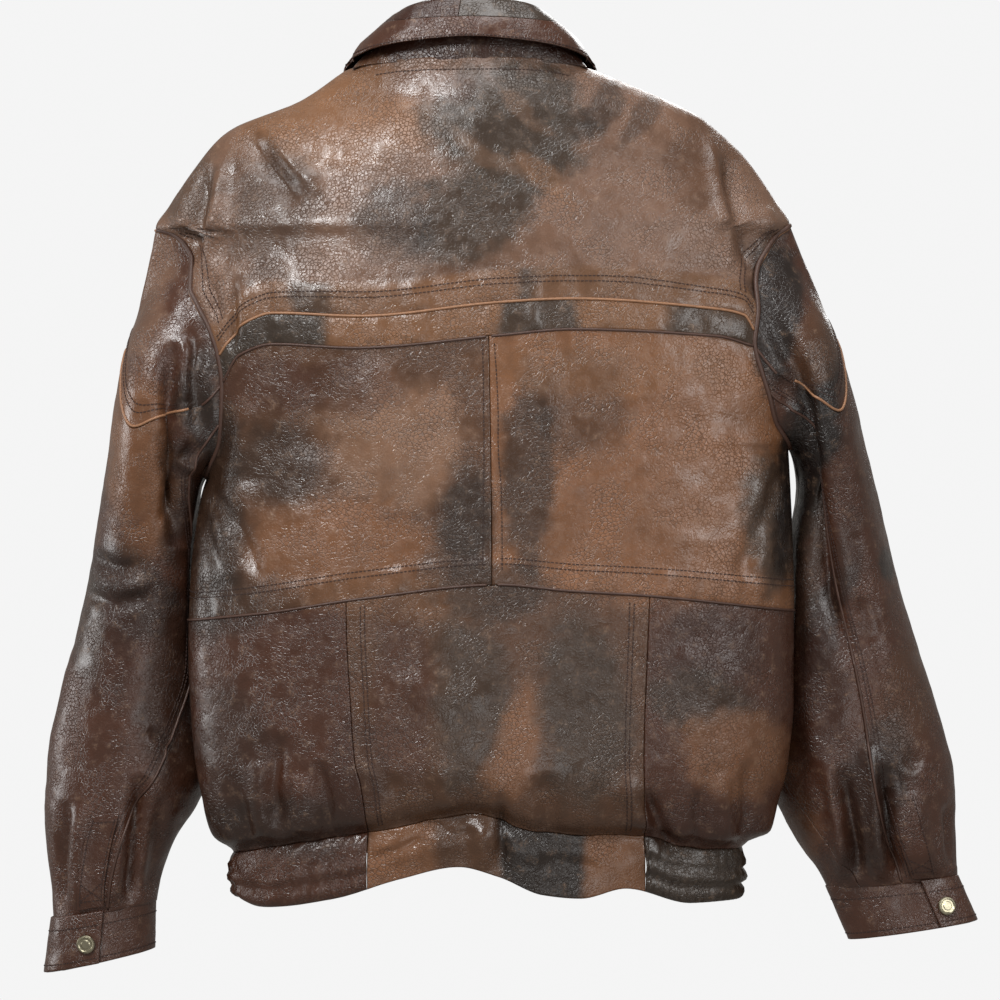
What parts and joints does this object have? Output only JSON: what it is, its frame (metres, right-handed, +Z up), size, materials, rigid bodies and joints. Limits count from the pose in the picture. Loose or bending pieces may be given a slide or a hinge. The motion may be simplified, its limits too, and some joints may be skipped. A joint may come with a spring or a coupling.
{
  "type": "leather blouson jacket on a wooden hanger",
  "caption": "Worn patchwork leather blouson with zip front, elasticated waist and snap cuffs, hanging hollow on a wooden hanger.",
  "frame": {"origin": "inside top of the hanger's hook, where it hangs on its rail", "axes": "+Z up, +X to the right seen from behind the jacket, -Y out of the jacket's back"},
  "size_m": [0.7759, 0.203, 0.8759],
  "materials": {
    "leather_tan": "worn, semi-gloss, cracked",
    "leather_brown": "worn, semi-gloss, cracked",
    "leather_dark": "worn, semi-gloss, cracked",
    "zip_metal": "antique, satin",
    "zip_tape": "woven tape",
    "snap_metal": "antique nickel",
    "wood": "pale, varnished",
    "steel_wire": "plated wire"
  },
  "bodies": {
    "jacket": {"back_yoke": "leather_tan", "back_band": "leather_dark", "back_mid_left": "leather_tan", "back_mid_right": "leather_tan", "back_low_left": "leather_brown", "back_low_centre": "leather_brown", "back_low_right": "leather_brown", "waist_back": "leather_brown", "front_left": "leather_brown", "front_right": "leather_brown", "waist_front_left": "leather_brown", "waist_front_right": "leather_brown", "waist_elastic_left": "leather_dark", "waist_elastic_right": "leather_dark", "collar_stand": "leather_dark", "collar_fall": "leather_dark", "collar_upper_left": "leather_dark", "collar_upper_right": "leather_dark", "zip_chain": "zip_metal", "zip_tape_left": "zip_tape", "zip_tape_right": "zip_tape", "zip_slider": "zip_metal", "hanger_bar": "wood", "hanger_hook": "steel_wire", "sleeve_cap_left": "leather_brown", "sleeve_outer_left": "leather_tan", "sleeve_under_left": "leather_dark", "placket_left": "leather_dark", "cuff_left": "leather_brown", "snap_left": "snap_metal", "sleeve_cap_right": "leather_brown", "sleeve_outer_right": "leather_tan", "sleeve_under_right": "leather_dark", "placket_right": "leather_dark", "cuff_right": "leather_brown", "snap_right": "snap_metal"},
    "pull": {"zip_pull": "zip_metal"}
  },
  "joints": [
    {"name": "pull_swing", "type": "hinge", "parent": "jacket", "child": "pull", "pos_m": [0.00263, 0.07435, -0.21212], "axis": [1, 0, 0], "range_deg": [0, 150]}
  ]
}
